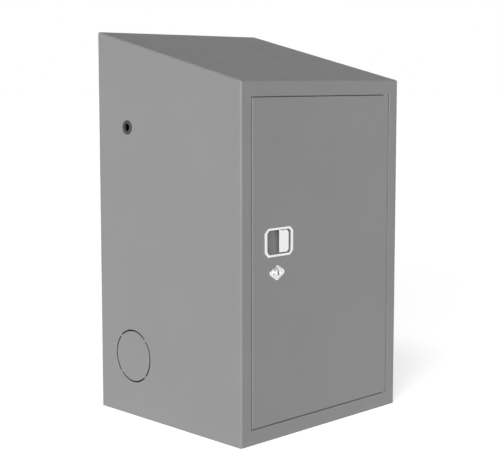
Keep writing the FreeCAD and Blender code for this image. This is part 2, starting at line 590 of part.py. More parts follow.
arm_slot = block("arm_slot",
                 (f"{HUB_X} - arm_thick/2 - arm_swing", f"{HUB_X} + arm_thick/2 + arm_slot_gap"),
                 (f"{CUP_FLOOR} - dish_wall", f"{CUP_REAR} + dish_wall"),
                 (f"{ARM_Z} - arm_height/2 - arm_slot_gap", f"{ARM_Z} + arm_height/2 + arm_slot_gap"))
PADDLE_PIN_START = (HUB_X, HUB_Y, f"{CUP_LOW} - dish_wall")
PADDLE_PIN_LENGTH = f"{CUP_HIGH} - {CUP_LOW} + 2*dish_wall"
hub_hole = rod("hub_hole", "Z", PADDLE_PIN_START, "paddle_pin_dia/2", PADDLE_PIN_LENGTH)
latch_bezel = cut("latch_bezel", fuse("bezel_form", bezel, *bezel_studs), cup_space)
# The finger well's floor is raised above the pocket that the hub and its arm work in.
well_floor = block("well_floor", (f"{CUP_LEFT} - dish_wall/2", WELL_RIGHT),
                   (WELL_FLOOR, f"{CUP_FLOOR} + dish_wall/2"),
                   (f"{CUP_LOW} - dish_wall/2", f"{CUP_HIGH} + dish_wall/2"))
well_back = block("well_back", (CUP_LEFT, f"{WELL_RIGHT} - dish_wall"),
                  (f"{WELL_FLOOR} + dish_wall", f"{CUP_REAR} + dish_wall"), (CUP_LOW, CUP_HIGH))
latch_dish = cut("latch_dish",
                 fuse("dish_form", cut("dish_cup", cup_form, cup_space, arm_slot, hub_hole), well_floor),
                 well_back)
latch_nuts = nuts("latch_nut", (LATCH_X, BACK_OF_SKIN, "latch_level"), STUDS, "nut_flats", "nut_thick",
                  "stud_dia/2")

PADDLE_RIGHT = f"({CUP_RIGHT} - paddle_inset)"
PADDLE_LEFT = f"({PADDLE_RIGHT} - paddle_width)"
PADDLE_FRONT = f"({FRONT} + paddle_setback)"
PADDLE_LOW = f"({CUP_LOW} + paddle_gap)"
PADDLE_HIGH = f"({CUP_HIGH} - paddle_gap)"
paddle_plate = prism("paddle_plate", "XY_Plane", PADDLE_LOW, [
    (PADDLE_LEFT, PADDLE_FRONT), (PADDLE_RIGHT, PADDLE_FRONT),
    (PADDLE_RIGHT, f"{PADDLE_FRONT} + paddle_thick"), (PADDLE_LEFT, f"{PADDLE_FRONT} + paddle_thick")],
    f"{PADDLE_HIGH} - {PADDLE_LOW}")
chamfer_edges(paddle_plate, "paddle_corners",
              lambda edge, box: runs_along(edge, "Y") and edge.BoundBox.XMin > box.XMax - TOUCH,
              "window_corner")
round_edges(paddle_plate, "paddle_lip_edges",
            lambda edge, box: runs_along(edge, "Z") and edge.BoundBox.XMax < box.XMin + TOUCH, "paddle_lip")
latch_paddle = cut(
    "latch_paddle",
    fuse("paddle_form", paddle_plate,
         rod("paddle_hub", "Z", (HUB_X, HUB_Y, f"{PADDLE_LOW} + hub_end"), "hub_dia/2",
             f"{PADDLE_HIGH} - {PADDLE_LOW} - 2*hub_end"),
         block("paddle_web", (f"{HUB_X} - web_thick/2", f"{HUB_X} + web_thick/2"),
               (f"{PADDLE_FRONT} + paddle_thick/2", HUB_Y),
               (f"{PADDLE_LOW} + hub_end", f"{PADDLE_HIGH} - hub_end")),
         block("paddle_arm", (f"{HUB_X} - arm_thick/2", f"{HUB_X} + arm_thick/2"),
               (HUB_Y, f"{HUB_Y} + arm_reach"), (f"{ARM_Z} - arm_height/2", f"{ARM_Z} + arm_height/2"))),
    rod("paddle_bore", "Z", PADDLE_PIN_START, "paddle_pin_dia/2 + pin_clearance", PADDLE_PIN_LENGTH))
paddle_pin = rod("paddle_pin", "Z", PADDLE_PIN_START, "paddle_pin_dia/2", PADDLE_PIN_LENGTH)

CASE_LEFT = f"({LATCH_X} - case_left)"
CASE_RIGHT = f"({LATCH_X} + case_right)"
CASE_LOW = "(latch_level - case_height/2)"
CASE_HIGH = "(latch_level + case_height/2)"
BOLT_LOW = f"({BOLT_Z} - bolt_below)"
BOLT_HIGH = f"({BOLT_Z} + bolt_above)"
BOLT_REAR = f"({BOLT_Y} + bolt_thick)"
case_form = block("case_form", (CASE_LEFT, CASE_RIGHT), (CUP_REAR, CASE_REAR), (CASE_LOW, CASE_HIGH))
case_space = block("case_space", (f"{CASE_LEFT} + case_wall", f"{CASE_RIGHT} - case_wall"),
                   (f"{CUP_REAR} - case_wall", f"{CASE_REAR} - case_wall"),
                   (f"{CASE_LOW} + case_wall", f"{CASE_HIGH} - case_wall"))
bolt_slot = block("bolt_slot", (f"{CASE_LEFT} - case_wall", f"{CASE_LEFT} + 2*case_wall"),
                  (f"{BOLT_Y} - bolt_play", f"{BOLT_REAR} + bolt_play"),
                  (f"{BOLT_LOW} - bolt_play", f"{BOLT_HIGH} + bolt_play"))
ROCKER_STUD_START = (ROCKER_X, ROCKER_Y, ROCKER_Z)
ROCKER_STUD_LENGTH = f"{CASE_REAR} - {ROCKER_Y}"
stud_seat = rod("stud_seat", "Y", ROCKER_STUD_START, "rocker_stud_dia/2", ROCKER_STUD_LENGTH)
latch_case = cut("latch_case", case_form, case_space, bolt_slot, stud_seat)
rocker_stud = rod("rocker_stud", "Y", ROCKER_STUD_START, "rocker_stud_dia/2", ROCKER_STUD_LENGTH)

rocker_plate = prism("rocker_plate", "XZ_Plane", f"-{ROCKER_Y}", [
    (f"{ROCKER_X} - rocker_width/2", f"{ROCKER_Z} - rocker_foot - rocker_width/2"),
    (f"{ROCKER_X} + rocker_width/2", f"{ROCKER_Z} - rocker_foot - rocker_width/2"),
    (f"{ROCKER_X} + rocker_width/2", f"{ROCKER_Z} + rocker_top + arm_height/2"),
    (f"{ROCKER_X} - rocker_width/2", f"{ROCKER_Z} + rocker_top + arm_height/2")],
    "rocker_thick", reverse=True)
round_edges(rocker_plate, "rocker_ends", lambda edge, box: runs_along(edge, "Y"),
            "(rocker_width - rocker_flat)/2")
foot_pin = rod("foot_pin", "Y", (ROCKER_X, ROCKER_Y, BOLT_Z), "foot_pin_dia/2",
               f"{BOLT_Y} + pocket_depth - foot_pin_end - {ROCKER_Y}")
latch_rocker = cut("latch_rocker", fuse("rocker_form", rocker_plate, foot_pin),
                   rod("rocker_bore", "Y", ROCKER_STUD_START, "rocker_stud_dia/2 + pin_clearance",
                       "rocker_thick"))

bolt_form = prism("bolt_form", "XY_Plane", BOLT_LOW, [
    (BOLT_TIP, BOLT_Y), (f"{ROCKER_X} + bolt_tail", BOLT_Y), (f"{ROCKER_X} + bolt_tail", BOLT_REAR),
    (f"{BOLT_TIP} + bolt_slant", BOLT_REAR), (BOLT_TIP, f"{BOLT_Y} + bolt_nose")],
    "bolt_below + bolt_above")
bolt_pocket = block("bolt_pocket",
                    (f"{ROCKER_X} - foot_pin_dia/2 - foot_play", f"{ROCKER_X} + foot_pin_dia/2 + foot_play"),
                    (f"{BOLT_Y} - foot_play", f"{BOLT_Y} + pocket_depth"),
                    (f"{BOLT_Z} - foot_pin_dia/2 - foot_play", f"{BOLT_Z} + foot_pin_dia/2 + foot_lift"))
latch_bolt = cut("latch_bolt", bolt_form, bolt_pocket)

SPRING_Y = f"({ROCKER_Y} + rocker_thick + spring_gap + spring_wire/2)"
SPRING_LAST = f"({SPRING_Y} + (spring_turns - 1)*spring_pitch)"
turns = []
for number in range(SIZES["spring_turns"]):
    turn = doc.addObject("Part::Torus", f"spring_turn_{number + 1}")
    bind(turn, "Radius1", "spring_dia/2")
    bind(turn, "Radius2", "spring_wire/2")
    turns.append(put(turn, ROCKER_X, f"{SPRING_Y} + {number}*spring_pitch", ROCKER_Z, TURN["Y"]))
coil = turns[0]
for number, turn in enumerate(turns[1:], start=2):
    coil = fuse(f"spring_coil_{number}", coil, turn)
rocker_spring = fuse("rocker_spring", coil,
                     rod("spring_leg_rocker", "Z", (f"{ROCKER_X} + spring_dia/2", SPRING_Y, ROCKER_Z),
                         "spring_leg_dia/2", "spring_leg"),
                     rod("spring_leg_case", "Z", (f"{ROCKER_X} - spring_dia/2", SPRING_LAST, ROCKER_Z),
                         "spring_leg_dia/2", "spring_leg"))

STRIKE_Z = f"({BOLT_Z} + (bolt_above - bolt_below)/2)"
STRIKE_X = f"({STOP_EDGE} - strike_width)"
RIVET_X = f"({STRIKE_X} + rivet_inset)"
strike_form = block("strike_form", (STRIKE_X, STOP_EDGE), (STOP_REAR, f"{STOP_REAR} + strike_thick"),
                    (f"{STRIKE_Z} - strike_height/2", f"{STRIKE_Z} + strike_height/2"))
RIVETS = [("0", "0", "-rivet_spread"), ("0", "0", "rivet_spread")]
RIVET_START = (RIVET_X, STOP_FRONT, STRIKE_Z)
RIVET_GRIP = "(sheet_thick + strike_thick)"
strike_plate = cut("strike_plate", strike_form,
                   *spread("strike_hole", "Y", RIVET_START, RIVETS, "rivet_dia/2", RIVET_GRIP))
left_side_panel = cut("left_side_panel", left_side_open,
                      *spread("stop_hole", "Y", RIVET_START, RIVETS, "rivet_dia/2", RIVET_GRIP))
rivet_parts = zip(
    spread("rivet_shank", "Y", RIVET_START, RIVETS, "rivet_dia/2", RIVET_GRIP),
    spread("rivet_front", "Y", (RIVET_X, f"{STOP_FRONT} - rivet_dome", STRIKE_Z), RIVETS,
           "rivet_head/2", "rivet_dome"),
    spread("rivet_rear", "Y", (RIVET_X, f"{STOP_REAR} + strike_thick", STRIKE_Z), RIVETS,
           "rivet_head/2", "rivet_tail"))
strike_rivets = group("strike_rivets", [fuse(f"strike_rivet_{i}", *parts)
                                        for i, parts in enumerate(rivet_parts, start=1)])


# Cam lock --------------------------------------------------------------------------------

# A rounded corner falls short of its sharp one, so the sharp corners stand further out.
ROSETTE_X = "(rosette_width/2 + rosette_round*(sqrt(1 + (rosette_width/rosette_height)^2) - 1))"
ROSETTE_Z = "(rosette_height/2 + rosette_round*(sqrt(1 + (rosette_height/rosette_width)^2) - 1))"
rosette_plate = prism("rosette_plate", "XZ_Plane", f"-({FRONT} - rosette_thick)", [
    (f"{LOCK_X} - {ROSETTE_X}", "lock_level"),
    (LOCK_X, f"lock_level - {ROSETTE_Z}"),
    (f"{LOCK_X} + {ROSETTE_X}", "lock_level"),
    (LOCK_X, f"lock_level + {ROSETTE_Z}")], "rosette_thick", reverse=True)
round_edges(rosette_plate, "rosette_corners", lambda edge, box: runs_along(edge, "Y"), "rosette_round")
ROSETTE_DEPTH = "(rosette_thick + collar_thick)"
LOCK_HOLE_START = (LOCK_X, f"{FRONT} - {ROSETTE_DEPTH}", "lock_level")
lock_rosette = cut("lock_rosette",
                   fuse("rosette_form", rosette_plate,
                        rod("rosette_collar", "Y", LOCK_HOLE_START, "collar_dia/2", ROSETTE_DEPTH)),
                   rod("rosette_hole", "Y", LOCK_HOLE_START, "lock_dia/2", ROSETTE_DEPTH))

LOCK_START = (LOCK_X, LOCK_FRONT, "lock_level")
lock_barrel = cut("lock_barrel", rod("barrel_form", "Y", LOCK_START, "lock_dia/2", "lock_length"),
                  rod("barrel_bore", "Y", LOCK_START, "plug_dia/2 + plug_clearance", "lock_length"))
LOCK_NUT_START = (LOCK_X, BACK_OF_SKIN, "lock_level")
lock_nut = cut("lock_nut",
               hexagon("lock_nut_bar", "Y", LOCK_NUT_START, "lock_nut_flats", "lock_nut_thick"),
               rod("lock_nut_bore", "Y", LOCK_NUT_START, "lock_dia/2", "lock_nut_thick"))
keyway = block("keyway", (f"{LOCK_X} - key_width/2", f"{LOCK_X} + key_width/2"),
               (f"{LOCK_FRONT} - key_width", f"{LOCK_FRONT} + key_depth"),
               ("lock_level - key_height/2", "lock_level + key_height/2"))
lock_plug = cut("lock_plug", rod("plug_form", "Y", LOCK_START, "plug_dia/2", "lock_length + plug_end"),
                keyway)
CAM_Y = f"({LOCK_REAR} + plug_end)"
CAM_REACH = f"({LOCK_X} - ({STOP_EDGE} - cam_hold))"
cam_form = prism("cam_form", "XZ_Plane", f"-{CAM_Y}", [
    (f"{LOCK_X} - cam_width/2", "lock_level + cam_width/2"),
    (f"{LOCK_X} + cam_width/2", "lock_level + cam_width/2"),
    (f"{LOCK_X} + cam_width/2", f"lock_level - {CAM_REACH}"),
    (f"{LOCK_X} - cam_width/2", f"lock_level - {CAM_REACH}")], "cam_thick", reverse=True)
round_edges(cam_form, "cam_ends", lambda edge, box: runs_along(edge, "Y"), "cam_end")
CAM_SCREW_START = (LOCK_X, CAM_Y, "lock_level")
lock_cam = cut("lock_cam", cam_form, rod("cam_hole", "Y", CAM_SCREW_START, "cam_screw_dia/2", "cam_thick"))
cam_screw = fuse("cam_screw", rod("cam_screw_shank", "Y", CAM_SCREW_START, "cam_screw_dia/2", "cam_thick"),
                 rod("cam_screw_cap", "Y", (LOCK_X, f"{CAM_Y} + cam_thick", "lock_level"),
                     "cam_screw_head/2", "cam_screw_thick"))


# Hose saddle -----------------------------------------------------------------------------

SADDLE_BACK = f"({BACK} - sheet_thick)"
SADDLE_FRONT = f"({SADDLE_BACK} - saddle_reach)"
SADDLE_START = ("0", SADDLE_FRONT, "saddle_level")
arch = fuse("saddle_arch",
            rod("saddle_shelf", "Y", SADDLE_START, "saddle_radius", "saddle_reach"),
            rod("saddle_rim", "Y", SADDLE_START, "saddle_radius + saddle_lip", "saddle_thick"))
arch_space = rod("arch_space", "Y", SADDLE_START, "saddle_radius - saddle_thick", "saddle_reach")
lower_half = block("saddle_lower_half", ("-2*saddle_radius", "2*saddle_radius"),
                   (f"{SADDLE_FRONT} - saddle_thick", BACK),
                   ("saddle_level - 2*saddle_radius", "saddle_level"))
saddle_plate = block("saddle_plate", ("-saddle_plate_width/2", "saddle_plate_width/2"),
                     (f"{SADDLE_BACK} - saddle_thick", SADDLE_BACK),
                     ("saddle_level", "saddle_level + saddle_plate_height"))
saddle_bridge = block("saddle_bridge",
                      ("-(saddle_radius - saddle_thick/2)", "saddle_radius - saddle_thick/2"),
                      (f"{SADDLE_BACK} - saddle_thick", SADDLE_BACK),
                      ("saddle_level", "saddle_level + saddle_stud_z"))
saddle_holes = spread("saddle_hole", "Y", ("0", f"{SADDLE_BACK} - 2*saddle_thick", SADDLE_PLATE_Z),
                      SADDLE_STUDS, "saddle_stud_dia/2", "3*saddle_thick")
saddle_arc = cut("saddle_arc", arch, arch_space, lower_half)
hose_saddle = cut("hose_saddle", fuse("saddle_form", saddle_arc, saddle_plate, saddle_bridge), *saddle_holes)
SADDLE_NUT_START = ("0", f"{SADDLE_BACK} - saddle_thick - saddle_nut_thick", SADDLE_PLATE_Z)
saddle_nuts = nuts("saddle_nut", SADDLE_NUT_START, SADDLE_STUDS, "saddle_nut_flats", "saddle_nut_thick",
                   "saddle_stud_dia/2")


# Output ----------------------------------------------------------------------------------

NODES = {
    "left_side_panel": left_side_panel, "right_side_panel": right_side_panel, "roof_panel": roof_panel,
    "floor_panel": floor_panel, "back_panel": back_panel, "left_knockout": left_knockout,
    "right_knockout": right_knockout, "cable_grommet": cable_grommet, "door_gasket": door_gasket,
    "top_hinge_bracket": top_bracket, "top_pivot_pin": top_pin, "top_hinge_bush": top_bush,
    "bottom_hinge_bracket": low_bracket, "bottom_pivot_pin": low_pin, "bottom_hinge_bush": low_bush,
    "door_panel": door_panel, "door_stiffener": door_stiffener, "latch_bezel": latch_bezel,
    "latch_dish": latch_dish, "latch_nuts": latch_nuts, "latch_paddle": latch_paddle,
    "paddle_pin": paddle_pin, "latch_case": latch_case, "rocker_stud": rocker_stud,
    "latch_rocker": latch_rocker, "rocker_spring": rocker_spring,
    "latch_bolt": latch_bolt, "strike_plate": strike_plate, "strike_rivets": strike_rivets,
    "lock_rosette": lock_rosette, "lock_barrel": lock_barrel, "lock_nut": lock_nut, "lock_plug": lock_plug,
    "lock_cam": lock_cam, "cam_screw": cam_screw, "hose_saddle": hose_saddle, "saddle_nuts": saddle_nuts,
}

doc.recompute()
for node, item in NODES.items():
    item.Label = node

faults = [item.Name for item in doc.Objects if {"Invalid", "Error"} & set(item.State)]
faults += [node for node, item in NODES.items() if item.Shape.isNull() or not item.Shape.isValid()
           or not item.Shape.Solids]
if faults:
    raise RuntimeError("not built: " + ", ".join(faults))

os.makedirs("parts", exist_ok=True)
for node, item in NODES.items():
    item.Shape.exportStep(f"parts/{node}.step")
    print(f"{node}: {len(item.Shape.Solids)} solid, {item.Shape.Volume/1000:.1f} cm3")
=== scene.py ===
import json
import math

import bmesh
import bpy
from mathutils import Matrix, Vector


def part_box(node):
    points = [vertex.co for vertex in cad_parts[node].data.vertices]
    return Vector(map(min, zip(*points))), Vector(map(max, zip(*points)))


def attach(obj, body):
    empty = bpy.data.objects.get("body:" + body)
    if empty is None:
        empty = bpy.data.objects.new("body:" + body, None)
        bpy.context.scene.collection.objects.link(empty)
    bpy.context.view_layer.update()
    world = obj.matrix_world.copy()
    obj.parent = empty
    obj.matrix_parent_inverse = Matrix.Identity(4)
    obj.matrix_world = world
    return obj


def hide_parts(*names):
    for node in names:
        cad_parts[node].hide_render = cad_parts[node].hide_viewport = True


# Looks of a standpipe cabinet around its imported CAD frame.
# Metres: +X to the right of someone facing the door, +Y towards the wall, +Z up.

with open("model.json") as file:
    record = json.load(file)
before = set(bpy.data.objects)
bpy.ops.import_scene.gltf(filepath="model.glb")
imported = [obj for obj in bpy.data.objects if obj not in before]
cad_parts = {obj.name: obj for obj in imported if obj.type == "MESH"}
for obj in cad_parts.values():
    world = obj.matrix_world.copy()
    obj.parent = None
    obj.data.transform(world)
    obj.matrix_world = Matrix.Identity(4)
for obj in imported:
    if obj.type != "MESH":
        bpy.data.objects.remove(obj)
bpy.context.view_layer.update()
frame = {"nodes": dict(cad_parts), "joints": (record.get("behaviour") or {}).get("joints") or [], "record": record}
nodes = frame["nodes"]

MM = 0.001
SMOOTH_ANGLE = math.radians(32)
ROUND_STEPS = 6
CIRCLE_STEPS = 48
# Below this, a sine or a cross product counts as none.
TINY = 1e-9


# Materials -------------------------------------------------------------------------------

class Finish:
    """A procedural material: one Principled shader with noise for its colour, gloss and bump."""

    def __init__(self, name, colour, metallic=0.0, rough=0.5):
        self.name = name
        self.material = bpy.data.materials.new(name)
        self.material.use_nodes = True
        self.tree = self.material.node_tree
        self.shader = self.tree.nodes["Principled BSDF"]
        self.colour = colour
        self.shader.inputs["Base Color"].default_value = (*colour, 1)
        self.shader.inputs["Metallic"].default_value = metallic
        self.shader.inputs["Roughness"].default_value = rough
        self.coords = self.add("ShaderNodeTexCoord").outputs["Object"]
        self.bump_above = None

    def add(self, kind, **settings):
        node = self.tree.nodes.new(kind)
        for name, value in settings.items():
            setattr(node, name, value)
        return node

    def link(self, source, target):
        self.tree.links.new(source, target)

    def noise(self, size, detail=2.0, stretch=(1, 1, 1)):
        """Noise between 0 and 1 whose grains are about size metres, longer where stretch is above 1."""
        mapping = self.add("ShaderNodeMapping")
        mapping.inputs["Scale"].default_value = [1/s for s in stretch]
        self.link(self.coords, mapping.inputs["Vector"])
        noise = self.add("ShaderNodeTexNoise")
        noise.inputs["Scale"].default_value = 1/size
        noise.inputs["Detail"].default_value = detail
        self.link(mapping.outputs["Vector"], noise.inputs["Vector"])
        return noise.outputs["Fac"]

    def cells(self, size):
        """One random value per crystal of about size metres."""
        voronoi = self.add("ShaderNodeTexVoronoi")
        voronoi.inputs["Scale"].default_value = 1/size
        self.link(self.coords, voronoi.inputs["Vector"])
        split = self.add("ShaderNodeSeparateColor")
        self.link(voronoi.outputs["Color"], split.inputs["Color"])
        return split.outputs["Red"]

    def span(self, source, low, high, start=0.3, end=0.7):
        """Spread source, between start and end, over low to high."""
        node = self.add("ShaderNodeMapRange")
        for socket, value in zip(("From Min", "From Max", "To Min", "To Max"), (start, end, low, high)):
            node.inputs[socket].default_value = value
        self.link(source, node.inputs["Value"])
        return node.outputs["Result"]

    def tint(self, source, swing):
        """Darken and lighten the colour by up to swing, following source."""
        mix = self.add("ShaderNodeMix", data_type="RGBA")
        mix.inputs["A"].default_value = (*[c*(1 - swing) for c in self.colour], 1)
        mix.inputs["B"].default_value = (*[min(c*(1 + swing), 1) for c in self.colour], 1)
        self.link(self.span(source, 0, 1), mix.inputs["Factor"])
        self.link(mix.outputs["Result"], self.shader.inputs["Base Color"])
        return self

    def gloss(self, source, low, high):
        self.link(self.span(source, low, high), self.shader.inputs["Roughness"])
        return self

    def bump(self, source, depth):
        """Add height, depth metres from low to high, on top of any bump already there."""
        node = self.add("ShaderNodeBump")
        node.inputs["Strength"].default_value = 1
        node.inputs["Distance"].default_value = depth
        self.link(source, node.inputs["Height"])
        if self.bump_above:
            self.link(self.bump_above, node.inputs["Normal"])
        self.bump_above = node.outputs["Normal"]
        self.link(self.bump_above, self.shader.inputs["Normal"])
        return self


def grey(level):
    return (level, level, level)


paint = Finish("cabinet_paint", grey(0.29), rough=0.42)
paint.tint(paint.noise(0.25, 3), 0.02)
paint.gloss(paint.noise(0.06, 3), 0.38, 0.46)
paint.bump(paint.noise(0.0016, 2), 0.00003)
paint.bump(paint.noise(0.35, 1), 0.0004)

chrome = Finish("polished_chrome", grey(0.82), metallic=1, rough=0.12)
chrome.gloss(chrome.noise(0.0025, 4, (1, 1, 30)), 0.10, 0.2)
chrome.bump(chrome.noise(0.0012, 3, (1, 1, 40)), 0.000004)

dark = Finish("dark_coating", grey(0.28), rough=0.55)
dark.tint(dark.noise(0.02, 3), 0.06)
dark.bump(dark.noise(0.0012, 2), 0.00003)

galvanised = Finish("galvanised_steel", (0.55, 0.56, 0.57), metallic=1, rough=0.4)
galvanised.tint(galvanised.cells(0.006), 0.12)
galvanised.gloss(galvanised.cells(0.006), 0.32, 0.5)
galvanised.bump(galvanised.noise(0.004, 2), 0.00003)

zinc = Finish("zinc_plated", grey(0.62), metallic=1, rough=0.32)
zinc.tint(zinc.noise(0.008, 3), 0.08)
zinc.gloss(zinc.noise(0.003, 3), 0.26, 0.4)
zinc.bump(zinc.noise(0.0009, 2), 0.00001)

steel = Finish("bright_steel", (0.68, 0.68, 0.69), metallic=1, rough=0.25)
steel.gloss(steel.noise(0.0008, 3, (1, 1, 12)), 0.2, 0.32)
steel.bump(steel.noise(0.0006, 2, (1, 1, 12)), 0.000006)

rubber = Finish("rubber_black", grey(0.06), rough=0.7)
rubber.tint(rubber.noise(0.01, 3), 0.25)
rubber.bump(rubber.noise(0.0007, 3), 0.00005)

# Painted shade: a near-black finish for the keyway's walls, standing in for the shade deep inside the slot.
keyway_shade = Finish("keyway_painted_shade", grey(0.04), rough=0.6)
keyway_shade.tint(keyway_shade.noise(0.002, 3), 0.3)
keyway_shade.bump(keyway_shade.noise(0.0008, 2), 0.00003)

nylon = Finish("nylon", (0.75, 0.74, 0.7), rough=0.45)
nylon.tint(nylon.noise(0.01, 2), 0.03)
nylon.bump(nylon.noise(0.0015, 2), 0.00001)

FINISHES = {finish.name: finish.material
            for finish in (paint, chrome, dark, galvanised, zinc, steel, rubber, keyway_shade, nylon)}


def wear(obj, name):
    """Give an object one of the record's finishes."""
    obj.data.materials.clear()
    obj.data.materials.append(FINISHES[name])


for subpart in frame["record"]["subparts"]:
    wear(nodes[subpart["node"]], subpart["material_slot"])


# Mesh tools ------------------------------------------------------------------------------

def corner_round(points, radius, steps=ROUND_STEPS):
    """Round each corner of a closed 2-D polygon; every corner becomes steps + 1 points."""
    result = []
    count = len(points)
    for i, here in enumerate(points):
        before, after = points[i - 1], points[(i + 1) % count]
        to_before = (before - here).normalized()
        to_after = (after - here).normalized()
        half = to_before.angle(to_after)/2
        reach = radius/math.tan(half)
        centre = here + (to_before + to_after).normalized()*radius/math.sin(half)
        start = here + to_before*reach - centre
        turn = start.angle_signed(here + to_after*reach - centre)
        for step in range(steps + 1):
            angle = -turn*step/steps
            result.append(centre + Vector((start.x*math.cos(angle) - start.y*math.sin(angle),
                                           start.x*math.sin(angle) + start.y*math.cos(angle))))
    return result


def shrink(points, distance):
    """Move each side of a convex, anticlockwise polygon inwards."""
    result = []
    count = len(points)
    for i, here in enumerate(points):
        into = (here - points[i - 1]).normalized()
        away = (points[(i + 1) % count] - here).normalized()
        first = Vector((-into.y, into.x))
        second = Vector((-away.y, away.x))
        result.append(here + (first + second)*distance/(1 + first.dot(second)))
    return result


def octagon(centre, width, height, corner):
    """A rectangle with cut corners, anticlockwise in (x, z)."""
    x, z = width/2, height/2
    corners = ((x - corner, -z), (x, corner - z), (x, z - corner), (x - corner, z),
               (corner - x, z), (-x, z - corner), (-x, corner - z), (corner - x, -z))
    return [Vector((centre[0] + a, centre[1] + b)) for a, b in corners]


def cut_rectangle(left, right, bottom, top, left_cut=0, right_cut=0):
    """A rectangle, anticlockwise in (x, z), with both corners cut on either side that has a cut."""
    lower = [(left, bottom + left_cut), (left + left_cut, bottom),
             (right - right_cut, bottom), (right, bottom + right_cut)]
    upper = [(right, top - right_cut), (right - right_cut, top),
             (left + left_cut, top), (left, top - left_cut)]
    # A cut of 0 gives the same point twice, and dict keeps one of them.
    return [Vector(point) for point in dict.fromkeys(lower + upper)]


def circle(centre, radius, steps=CIRCLE_STEPS):
    return [Vector((centre[0] + radius*math.cos(2*math.pi*i/steps),
                    centre[1] + radius*math.sin(2*math.pi*i/steps))) for i in range(steps)]


def pushed(points, centre, reach):
    """Move each point along its own ray from the centre, to where reach(angle) says."""
    result = []
    for p in points:
        angle = math.atan2(p.y - centre[1], p.x - centre[0])
        radius = reach(angle)
        result.append(Vector((centre[0] + radius*math.cos(angle), centre[1] + radius*math.sin(angle))))
    return result


def across_flats(flats, most=math.inf):
    """How far a hexagon reaches at an angle, and never further than most."""
    def reach(angle):
        return min(flats/2/math.cos((angle % (math.pi/3)) - math.pi/6), most)
    return reach


def outline_reach(outline, centre):
    """How far a polygon round the centre reaches at an angle."""
    def reach(angle):
        ray = Vector((math.cos(angle), math.sin(angle)))
        furthest, slack = 0, 1e-4
        for start, end in zip(outline, outline[1:] + outline[:1]):
            side = end - start
            across = ray.cross(side)
            if abs(across) < TINY:
                continue
            offset = start - Vector(centre)
            along, place = offset.cross(side)/across, offset.cross(ray)/across
            if -slack <= place <= 1 + slack:
                furthest = max(furthest, along)
        return furthest
    return reach


def slot_reach(width, height):
    """How far an upright rectangle reaches at an angle."""
    def reach(angle):
        side = width/2/max(abs(math.cos(angle)), TINY)
        end = height/2/max(abs(math.sin(angle)), TINY)
        return min(side, end)
    return reach


def facing_y(points, y):
    """Points in (x, z), stood up in the plane at y."""
    return [Vector((p.x, y, p.y)) for p in points]


def facing_x(points, x):
    """Points in (y, z), in the plane at x."""
    return [Vector((x, p.x, p.y)) for p in points]


def facing_z(points, z):
    """Points in (x, y), laid flat at z."""
    return [Vector((p.x, p.y, z)) for p in points]


def arc(radius, steps=ROUND_STEPS):
    """(in from the side, down from the face) along a quarter round, starting flush with the side."""
    turns = [math.pi/2*i/steps for i in range(steps + 1)]
    return [(radius*(1 - math.cos(turn)), radius*(1 - math.sin(turn))) for turn in turns]


def loft(bm, rings, closed=False):
    """Skin a run of rings that have the same number of points, and cap it unless it closes on itself."""
    rows = [[bm.verts.new(p) for p in ring] for ring in rings]
    pairs = list(zip(rows, rows[1:]))
    if closed:
        pairs.append((rows[-1], rows[0]))
    for low, high in pairs:
        for i in range(len(low)):
            j = (i + 1) % len(low)
            bm.faces.new((low[i], low[j], high[j], high[i]))
    if not closed:
        bm.faces.new(rows[0])
        bm.faces.new(rows[-1])


def lathe(bm, centre, profile, facing=facing_y, closed=False, steps=CIRCLE_STEPS):
    """Turn a profile of (radius, place along the axis) round an axis through centre."""
    loft(bm, [facing(circle(centre, radius, steps), place) for radius, place in profile], closed)


def thread(start, end, radius, pitch, depth):
    """(radius, place) pairs of a screw thread's ridges from start to end."""
    turns = max(int(abs(end - start)/pitch), 1)
    step = (end - start)/turns
    result = [(radius - depth, start)]
    for i in range(turns):
        result += [(radius, start + (i + 0.5)*step), (radius - depth, start + (i + 1)*step)]
    return result


def piece(name, bm, finish, body, *replaced):
    """Turn a bmesh into a smooth-shaded piece that rides on a body and stands for CAD nodes."""
    bmesh.ops.recalc_face_normals(bm, faces=bm.faces)
    mesh = bpy.data.meshes.new(name)
    bm.to_mesh(mesh)
    bm.free()
    mesh.polygons.foreach_set("use_smooth", [True]*len(mesh.polygons))
    mesh.set_sharp_from_angle(angle=SMOOTH_ANGLE)
    obj = bpy.data.objects.new(name, mesh)
    bpy.context.scene.collection.objects.link(obj)
    wear(obj, finish)
    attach(obj, body)
    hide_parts(*replaced)
    return obj


def carve(obj, *cutters):
    """Cut each closed bmesh out of an object for good."""
    for bm in cutters:
        bmesh.ops.recalc_face_normals(bm, faces=bm.faces)
        mesh = bpy.data.meshes.new("cutter")
        bm.to_mesh(mesh)
        bm.free()
        cutter = bpy.data.objects.new("cutter", mesh)
        bpy.context.scene.collection.objects.link(cutter)
        modifier = obj.modifiers.new("cut", "BOOLEAN")
        modifier.object = cutter
        modifier.solver = "EXACT"
        depsgraph = bpy.context.evaluated_depsgraph_get()
        carved = bpy.data.meshes.new_from_object(obj.evaluated_get(depsgraph))
        obj.modifiers.clear()
        obj.data = carved
        bpy.data.objects.remove(cutter)
    obj.data.polygons.foreach_set("use_smooth", [True]*len(obj.data.polygons))
    obj.data.set_sharp_from_angle(angle=SMOOTH_ANGLE)


def middle(low, high, first, second):
    return ((low[first] + high[first])/2, (low[second] + high[second])/2)


JOINT_AT = {joint["name"]: Vector(joint.get("pos_m", (0, 0, 0))) for joint in frame["joints"]}
DOOR_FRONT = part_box("door_panel")[0].y
SHEET = 1.5*MM


# Latch -----------------------------------------------------------------------------------

SIDE_RIM = 9*MM
END_RIM = 7*MM
WINDOW_CORNER = 7*MM
BEZEL_CORNER = 11.5*MM
PADDLE_PIN = 3*MM

# The paddle's rear arm: how far it is above the middle of the hub, half its section, and its room.
ARM_LEVEL = 14*MM
ARM_HALF_WIDTH = 2.5*MM
ARM_HALF_HEIGHT = 4*MM
ARM_SWING = 9*MM
ARM_GAP = 1.5*MM


